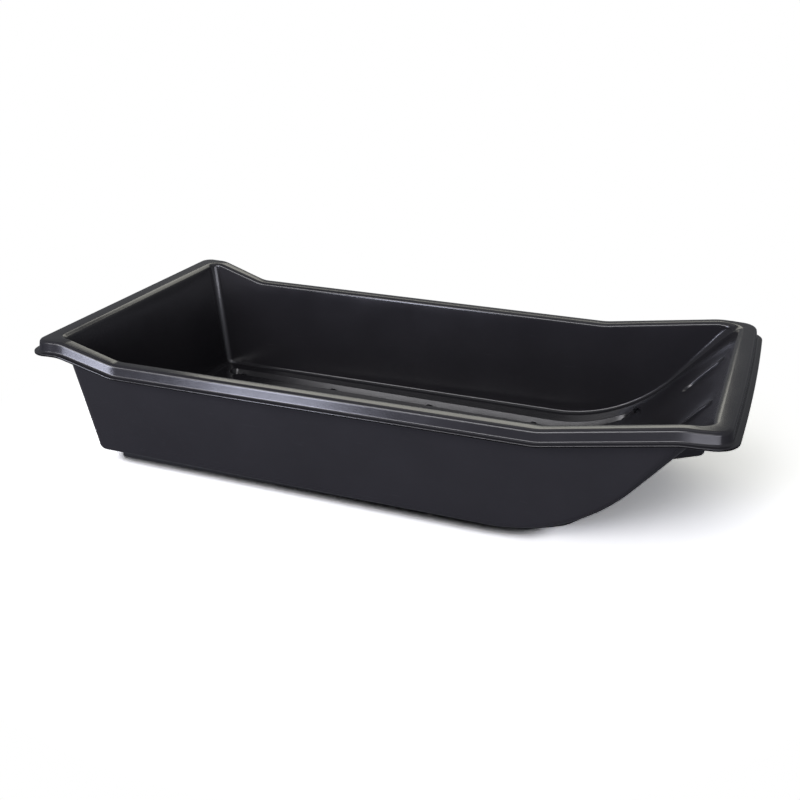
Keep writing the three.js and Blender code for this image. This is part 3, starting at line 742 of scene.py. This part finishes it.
def rimSection(spot, outer):
    # across the rim: over the inner round, along the top, down the lip and out along its flange
    skin = tub["wall"] * outer
    point, normal, corner, outward = spot
    plan = Vector((normal.x, normal.y, 0)).normalized()
    lean = math.acos(-normal.z)
    drop = rimHeight(point.x) - point.z
    radius = drop / (1 - math.cos(lean))
    centre = point + normal * radius
    section = [centre - plan * ((radius - skin) * math.sin(t)) + Vector((0, 0, (radius - skin) * math.cos(t)))
               for t in spread(lean, 0, facets["innerRound"])]
    turnOut = math.pi / 2 - math.radians(tub["lipLean"])
    edge, foot, tip = tub["edgeRound"], tub["footRound"], tub["tipRound"]
    edgeBack = edge * math.tan(turnOut / 2)
    footHeight = tub["lipHeight"] - tub["wall"]
    footOut = footHeight * math.tan(math.radians(tub["lipLean"])) + foot * math.tan(turnOut / 2)
    outline = [(-edgeBack + (edge - skin) * math.sin(t), edge - (edge - skin) * math.cos(t))
               for t in spread(0, turnOut, facets["lipEdge"])]
    outline += [(footOut - (foot + skin) * math.sin(t), footHeight - foot + (foot + skin) * math.cos(t))
                for t in spread(turnOut, 0, facets["lipFoot"])]
    end, hand = tub["lipOutset"] - tip, 1 if outer else -1
    centreDown = tub["lipHeight"] - tip if outer else footHeight + tip
    outline += [(end + tip * math.sin(t), centreDown + hand * tip * math.cos(t))
                for t in spread(0, math.pi / 2, facets["lipTip"])]
    crown = rimHeight(corner.x)
    section += [Vector((corner.x + outward.x * out, corner.y + outward.y * out, crown - down))
                for out, down in outline]
    return section


def rearSpot(row, column, side):
    point, turn = wellPoint(row, column, side, 0)
    radius = tub["rearCorner"]
    if column[0] == "fillet":
        corner = Vector((radius * (1 - math.cos(turn)), side * (rimHalf(0) - radius * (1 - math.sin(turn)))))
        outward = Vector((-math.cos(turn), side * math.sin(turn)))
    else:
        flatHalf = wellHalf(row["at"].x, row["at"].y) - row["round"]
        corner = Vector((0, point.y / flatHalf * (rimHalf(0) - radius)))
        outward = Vector((-1, 0))
    return point, wellNormal(row, side, turn), corner, outward


def frontSpot(row, column, side):
    point, turn = wellPoint(row, column, side, 0)
    radius, bow, length = tub["frontCorner"], tub["frontBow"], tub["length"]
    flatEnd = rimHalf(length) - radius
    if column[0] == "fillet":
        back = bow + radius * (1 - math.cos(turn))
        corner = Vector((length - back, side * (flatEnd + radius * math.sin(turn))))
        outward = Vector((math.cos(turn), side * math.sin(turn)))
    else:
        wallAt = row["at"] - row["out"] * row["round"]
        y = point.y / (wellHalf(wallAt.x, wallAt.y) - row["round"]) * flatEnd
        corner = Vector((length - bow * (y / flatEnd) ** 2, y))
        outward = Vector((1, 2 * bow * y / flatEnd ** 2)).normalized()
    return point, wellNormal(row, side, turn), corner, outward


def sideSpot(outer, side):
    inner = innerStation(outer)
    z = rimHeight(inner) - tub["rimDrops"][1]
    step = tub["kinkEase"]
    alongX = (wellHalf(inner + step, z) - wellHalf(inner, z)) / step
    alongZ = (wellHalf(inner, z + step) - wellHalf(inner, z)) / step
    normal = Vector((-alongX, side, -alongZ)).normalized()
    slope = (rimHalf(outer + step) - rimHalf(outer - step)) / (2 * step)
    return (Vector((inner, side * wellHalf(inner, z), z)), normal,
            Vector((outer, side * rimHalf(outer))), Vector((-slope, side)).normalized())


def layGrid(name, points):
    # a grid is added and each of its vertices is laid on the mould
    acrossCount, alongCount = len(points[0]) - 1, len(points) - 1
    bpy.ops.mesh.primitive_grid_add(x_subdivisions=acrossCount, y_subdivisions=alongCount, size=2)
    grid = bpy.context.object
    grid.name = name
    for vertex in grid.data.vertices:
        column = round((vertex.co.x + 1) / 2 * acrossCount)
        row = round((vertex.co.y + 1) / 2 * alongCount)
        vertex.co = toFrame(points[row][column])
    return grid


def markPaintedHighlight(grid, rows, signed):
    # painted highlight: the colour turns pale down the middle of the fillets in the two rear inner corners
    mark = grid.data.attributes.new("painted_highlight", "FLOAT", "POINT")
    for i, vertex in enumerate(mark.data):
        row, (column, _) = rows[i // len(signed)], signed[i % len(signed)]
        if column[0] == "fillet" and row["station"] == 0:
            vertex.value = math.sin(2 * column[1]) ** 3 if 0 < column[1] < math.pi / 2 else 0.0


def laySkin(outer):
    rows = wellRows()
    label = "outside" if outer else "inside"
    signed = [(c, -1) for c in reversed(halfColumns[1:])] + [(c, 1) for c in halfColumns]
    strip = [[wellPoint(row, column, side, outer)[0] for column, side in signed] for row in rows]
    spots = [rearSpot(rows[0], column, side) for column, side in signed]
    frontSpots = [frontSpot(rows[-1], column, side) for column, side in signed]
    sides = {side: [sideSpot(x, side) for x in rimStations(len(rows) - 2)] for side in (-1, 1)}
    loop = spots + sides[1] + frontSpots[::-1] + sides[-1][::-1] + spots[:1]
    ring = [rimSection(spot, outer) for spot in loop]
    grids = [layGrid("well_" + label, strip), layGrid("rim_" + label, ring)]
    if not outer:
        # painted highlight down the inside skin's rear corners
        markPaintedHighlight(grids[0], rows, signed)
    for side, place in ((-1, 0), (1, -1)):
        low = [row[place] for row in strip]
        tops = [rimSection(spot, outer)[0] for spot in sides[side]]
        high = [low[0]] + tops + [low[-1]]
        panel = []
        for foot, top in zip(low, high):
            proud = [side * p.y - wellHalf(p.x, p.z) for p in (foot, top)]
            column = []
            for t in spread(0, 1, facets["sidePanel"]):
                x, z = mix(foot.x, top.x, t), mix(foot.z, top.z, t)
                column.append(Vector((x, side * (wellHalf(x, z) + mix(proud[0], proud[1], t)), z)))
            column[0], column[-1] = foot, top
            panel.append(column)
        grids.append(layGrid("side_" + label, panel))
    return grids


def pickOut(*pieces):
    # selects only these pieces, with the first as the active one
    bpy.ops.object.select_all(action="DESELECT")
    for piece in pieces:
        piece.select_set(True)
    bpy.context.view_layer.objects.active = pieces[0]


def joinPieces(pieces, name):
    pickOut(*pieces)
    bpy.ops.object.join()
    pieces[0].name = name
    return pieces[0]


def meetWith(piece, tool, operation):
    bpy.ops.object.select_all(action="DESELECT")
    bpy.context.view_layer.objects.active = piece
    cut = piece.modifiers.new("cut", "BOOLEAN")
    cut.operation = operation
    cut.solver = "EXACT"
    cut.object = tool
    bpy.ops.object.modifier_apply(modifier=cut.name)
    bpy.data.objects.remove(tool)


def cutHole(piece, at, axis, radius, length):
    turn = Vector(axis).to_track_quat("Z", "Y").to_euler()
    bpy.ops.mesh.primitive_cylinder_add(
        vertices=facets["hole"], radius=radius, depth=length, location=at, rotation=turn)
    meetWith(piece, bpy.context.object, "DIFFERENCE")


def makeTub():
    # both skins are welded into one closed sheet, which is then drilled
    piece = joinPieces(laySkin(0) + laySkin(1), "mouldedTub")
    bpy.ops.object.mode_set(mode="EDIT")
    bpy.ops.mesh.select_all(action="SELECT")
    bpy.ops.mesh.remove_doubles(threshold=making["weld"])
    bpy.ops.mesh.normals_make_consistent(inside=False)
    bpy.ops.object.mode_set(mode="OBJECT")
    for side in (-1, 1):
        at = toFrame(Vector((pocket["pin"][0], side * pocket["middle"], pocket["pin"][1])))
        cutHole(piece, at, (0, 1, 0), pocket["pinHole"] / 2000, pocket["pinCut"] / 1000)
        for station in tub["screwStations"]:
            point, down = floorPlace(station, keelDepth(station))
            at = toFrame(Vector((point.x, side * keelLine(station), point.y)))
            cutHole(piece, at, (down.x, 0, down.y), tub["screwHole"] / 2000, tub["screwCut"] / 1000)
    pickOut(piece)
    bpy.ops.object.shade_smooth_by_angle(angle=math.radians(making["tubSmooth"]))
    piece.data.materials.clear()
    piece.data.materials.append(mouldedPolyethylene())
    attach(piece, "root")
    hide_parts("tub")
    print("tub", len(piece.data.vertices), "vertices", len(piece.data.polygons), "faces")


makeTub()

bar = {
    "rear": 119.0,
    "front": 1208.0,
    "half": 16.5,
    "thickness": 13.0,
    "gap": 0.3,
    "cornerRound": 5.0,
    "topRound": 1.0,
    "footRound": 2.0,
    "taperStart": 1114.0,
    "tipThickness": 7.5,
    "rings": 84,
    "endReach": 1.0,           # how near an end, a face or a side an edge has to lie to belong to it
    "faceReach": 0.01,
    "sideReach": 0.1,
}

screw = {
    "stations": tub["screwStations"],
    "shank": 6.0,
    "head": 13.0,
    "headEdge": 0.8,
    "sink": 1.2,
    "clearance": 0.3,
    "pitch": 1.0,
    "threadDepth": 0.45,
    "threads": 9,
    "endProud": 1.0,
    "driveFlats": 4.0,
    "driveDepth": 2.0,
    "headChamfer": 0.2,
    "threadShares": (0.45, 0.55, 0.94),    # of the pitch: where its root starts and ends, and its crest
    "overrun": 12.0,
}

washer = {"outer": 16.0, "thickness": 1.5, "edgeRound": 0.25, "cutBelow": 3.0, "cutAbove": 5.0}
nut = {
    "flats": 10.0,
    "height": 5.0,
    "cornerFall": 0.45,
    "faceInset": 0.1,
    "mouth": 0.35,
    "overrun": 1.0,
}


def barTop(station):
    return keelDepth(station) + bar["gap"]


def barUnder(station):
    share = min(max((station - bar["taperStart"]) / (bar["front"] - bar["taperStart"]), 0), 1)
    return mix(tub["standsAt"], bar["gap"] + bar["tipThickness"], share)


def selectEdges(piece, wanted):
    # selects the edges whose two ends wanted says yes to, and leaves the piece in edit mode
    bpy.ops.object.mode_set(mode="EDIT")
    bpy.ops.mesh.select_mode(type="EDGE")
    bpy.ops.mesh.select_all(action="DESELECT")
    bpy.ops.object.mode_set(mode="OBJECT")
    corners = piece.data.vertices
    for edge in piece.data.edges:
        edge.select = wanted(*(corners[i].co for i in edge.vertices))
    bpy.ops.object.mode_set(mode="EDIT")


def bevelEdges(piece, wanted, offset, segments):
    selectEdges(piece, wanted)
    bpy.ops.mesh.bevel(offset=offset, segments=segments, profile=0.5, affect="EDGES")
    bpy.ops.object.mode_set(mode="OBJECT")


def finishPiece(piece, name, node, mat):
    pickOut(piece)
    piece.name = name
    bpy.ops.object.shade_smooth_by_angle(angle=math.radians(making["pieceSmooth"]))
    piece.data.materials.clear()
    piece.data.materials.append(mat)
    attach(piece, "root")
    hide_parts(node)


def atScrew(station, side):
    # from millimetres in a screw's own frame, with the underside at zero, to its place on the sled
    point, down = floorPlace(station, 0)
    origin = toFrame(Vector((point.x, side * keelLine(station), point.y)))
    return Matrix((
        (-down.y / 1000, 0, -down.x / 1000, origin.x),
        (0, 1 / 1000, 0, origin.y),
        (down.x / 1000, 0, -down.y / 1000, origin.z),
        (0, 0, 0, 1)))


def turnedPiece(profile, count):
    # a disc is drawn up ring by ring to each radius and height
    (radius, height), rest = profile[0], profile[1:]
    bpy.ops.object.select_all(action="DESELECT")
    bpy.ops.mesh.primitive_circle_add(
        vertices=count, radius=radius, fill_type="NGON", location=(0, 0, height))
    piece = bpy.context.object
    bpy.ops.object.transform_apply(location=True)
    bpy.ops.object.mode_set(mode="EDIT")
    for nextRadius, nextHeight in rest:
        bpy.ops.mesh.extrude_region_move(TRANSFORM_OT_translate={"value": (0, 0, nextHeight - height)})
        factor = nextRadius / radius
        bpy.ops.transform.resize(value=(factor, factor, 1), center_override=(0, 0, nextHeight))
        radius, height = nextRadius, nextHeight
    bpy.ops.mesh.select_all(action="SELECT")
    bpy.ops.mesh.normals_make_consistent(inside=False)
    bpy.ops.object.mode_set(mode="OBJECT")
    return piece


def screwHeights(station):
    # the screw's face, then the foot of the washer and of the nut, above the tub's underside
    foot = tub["wall"] - keelDepth(station) + bar["gap"]
    return -barUnder(station) + screw["sink"], foot, foot + washer["thickness"] + bar["gap"]


def makeBar(side, hand, mat):
    # an extruded strip: cut into rings, its ends and edges rounded, then laid along the keel's line
    length, tall, half = bar["front"] - bar["rear"], bar["thickness"], bar["half"]
    bpy.ops.mesh.primitive_cube_add(size=1)
    piece = bpy.context.object
    piece.scale = (length, 2 * half, tall)
    bpy.ops.object.transform_apply(scale=True)
    selectEdges(piece, lambda a, b: abs(a.x - b.x) > length / 2)
    bpy.ops.mesh.subdivide(number_cuts=bar["rings"])
    bpy.ops.object.mode_set(mode="OBJECT")
    bevelEdges(piece, lambda a, b: abs(a.z - b.z) > tall / 2 and abs(a.x) > length / 2 - bar["endReach"],
               bar["cornerRound"], facets["barEnd"])
    for face, offset in ((1, bar["topRound"]), (-1, bar["footRound"])):
        bevelEdges(piece, lambda a, b: min(a.z * face, b.z * face) > tall / 2 - bar["faceReach"]
                   and abs(a.y - b.y) < 2 * half - bar["sideReach"], offset, facets["barEdge"])
    for vertex in piece.data.vertices:
        across, up = vertex.co.y, vertex.co.z
        station = vertex.co.x + (bar["rear"] + bar["front"]) / 2
        depth = barTop(station) + tall / 2 - up if up > 0 else barUnder(station) - tall / 2 - up
        place = floorPlace(station, depth)[0]
        vertex.co = toFrame(Vector((place.x, side * keelLine(station) + across, place.y)))
    headRadius = screw["head"] / 2 + screw["clearance"]
    boreRadius = screw["shank"] / 2 + screw["clearance"]
    for station in screw["stations"]:
        face, foot, _ = screwHeights(station)
        shoulder = face + screw["headEdge"] + screw["clearance"]
        cutter = turnedPiece([
            (headRadius, face - screw["overrun"]), (headRadius, shoulder),
            (boreRadius, shoulder + headRadius - boreRadius), (boreRadius, foot + screw["overrun"])],
            facets["hole"])
        cutter.data.transform(atScrew(station, side))
        meetWith(piece, cutter, "DIFFERENCE")
    finishPiece(piece, "wearBar" + hand.capitalize(), "wear_bar_" + hand, mat)


def makeScrew(station):
    # countersunk head with a hex drive, plain shank, then a rolled thread up through the nut
    face, _, nutFoot = screwHeights(station)
    radius, headRadius = screw["shank"] / 2, screw["head"] / 2
    tip = nutFoot + nut["height"] + screw["endProud"]
    shoulder = face + screw["headEdge"]
    neck, chamfer = shoulder + headRadius - radius, screw["headChamfer"]
    profile = [(headRadius - chamfer, face), (headRadius, face + chamfer)]
    profile += [(headRadius, shoulder), (radius, neck)]
    pitch, root = screw["pitch"], radius - screw["threadDepth"]
    rootStart, rootEnd, crest = screw["threadShares"]
    start = tip - screw["threads"] * pitch
    if start > neck:
        profile.append((radius, start))
    for i in range(screw["threads"]):
        height = start + i * pitch
        if height > neck:
            profile += [(root, height + pitch * rootStart), (root, height + pitch * rootEnd),
                        (radius, height + pitch * crest)]
    profile.append((root, tip))
    piece = turnedPiece(profile, facets["turnedScrew"])
    driveRadius = screw["driveFlats"] / math.sqrt(3)
    bpy.ops.mesh.primitive_cylinder_add(
        vertices=6, radius=driveRadius, depth=2 * screw["driveDepth"], location=(0, 0, face))
    meetWith(piece, bpy.context.object, "DIFFERENCE")
    return piece


def makeWasher(station):
    # a punched ring with its edges broken
    _, foot, _ = screwHeights(station)
    bpy.ops.mesh.primitive_cylinder_add(
        vertices=facets["hole"], radius=washer["outer"] / 2, depth=washer["thickness"],
        location=(0, 0, foot + washer["thickness"] / 2))
    piece = bpy.context.object
    bpy.ops.object.transform_apply(location=True)
    bore = screw["shank"] / 2 + screw["clearance"]
    ends = [(bore, foot - washer["cutBelow"]), (bore, foot + washer["cutAbove"])]
    meetWith(piece, turnedPiece(ends, facets["hole"]), "DIFFERENCE")
    breakEdges(piece, washer["edgeRound"])
    return piece


def breakEdges(piece, width):
    bpy.context.view_layer.objects.active = piece
    bevel = piece.modifiers.new("edges", "BEVEL")
    bevel.width = width
    bevel.segments = facets["brokenEdge"]
    bevel.limit_method = "ANGLE"
    bevel.angle_limit = math.radians(making["pieceSmooth"])
    bpy.ops.object.modifier_apply(modifier=bevel.name)


def makeNut(station):
    # a hexagon turned down at its corners on both faces, bored, with its mouths opened out
    _, _, foot = screwHeights(station)
    top = foot + nut["height"]
    flat, corner = nut["flats"] / 2, nut["flats"] / math.sqrt(3)
    bpy.ops.mesh.primitive_cylinder_add(
        vertices=6, radius=corner, depth=nut["height"],
        location=(0, 0, (foot + top) / 2), rotation=(0, 0, math.pi / 6))
    piece = bpy.context.object
    bpy.ops.object.transform_apply(location=True, rotation=True)
    inset, fall = nut["faceInset"], nut["cornerFall"]
    turned = [(flat - inset, foot), (corner, foot + fall), (corner, top - fall), (flat - inset, top)]
    meetWith(piece, turnedPiece(turned, facets["turnedNut"]), "INTERSECT")
    bore, mouth, over = screw["shank"] / 2 + screw["clearance"], nut["mouth"], nut["overrun"]
    meetWith(piece, turnedPiece([
        (bore + mouth + over, foot - over), (bore, foot + mouth),
        (bore, top - mouth), (bore + mouth + over, top + over)], facets["turnedScrew"]), "DIFFERENCE")
    return piece


def addFasteners():
    steel, plastic = blackenedSteel(), wearPlastic()
    makers = {"screw": makeScrew, "washer": makeWasher, "nut": makeNut}
    stations = screw["stations"]
    # the last station has its own patterns, because the bar is thinner and the keel shallower there
    last = len(stations) - 1
    patterns = {(kind, i): maker(stations[i]) for kind, maker in makers.items() for i in (0, last)}
    for side, hand in ((1, "left"), (-1, "right")):
        makeBar(side, hand, plastic)
        for number, station in enumerate(stations):
            for kind in makers:
                pattern = patterns[kind, 0 if number < last else last]
                piece = pattern.copy()
                piece.data = pattern.data.copy()
                bpy.context.collection.objects.link(piece)
                piece.data.transform(atScrew(station, side))
                place = f"{hand}_{number + 1}"
                finishPiece(piece, f"{kind}_{place}", f"bar_{kind}_{place}", steel)
    for pattern in patterns.values():
        bpy.data.objects.remove(pattern)


addFasteners()
print("bars and fasteners made")
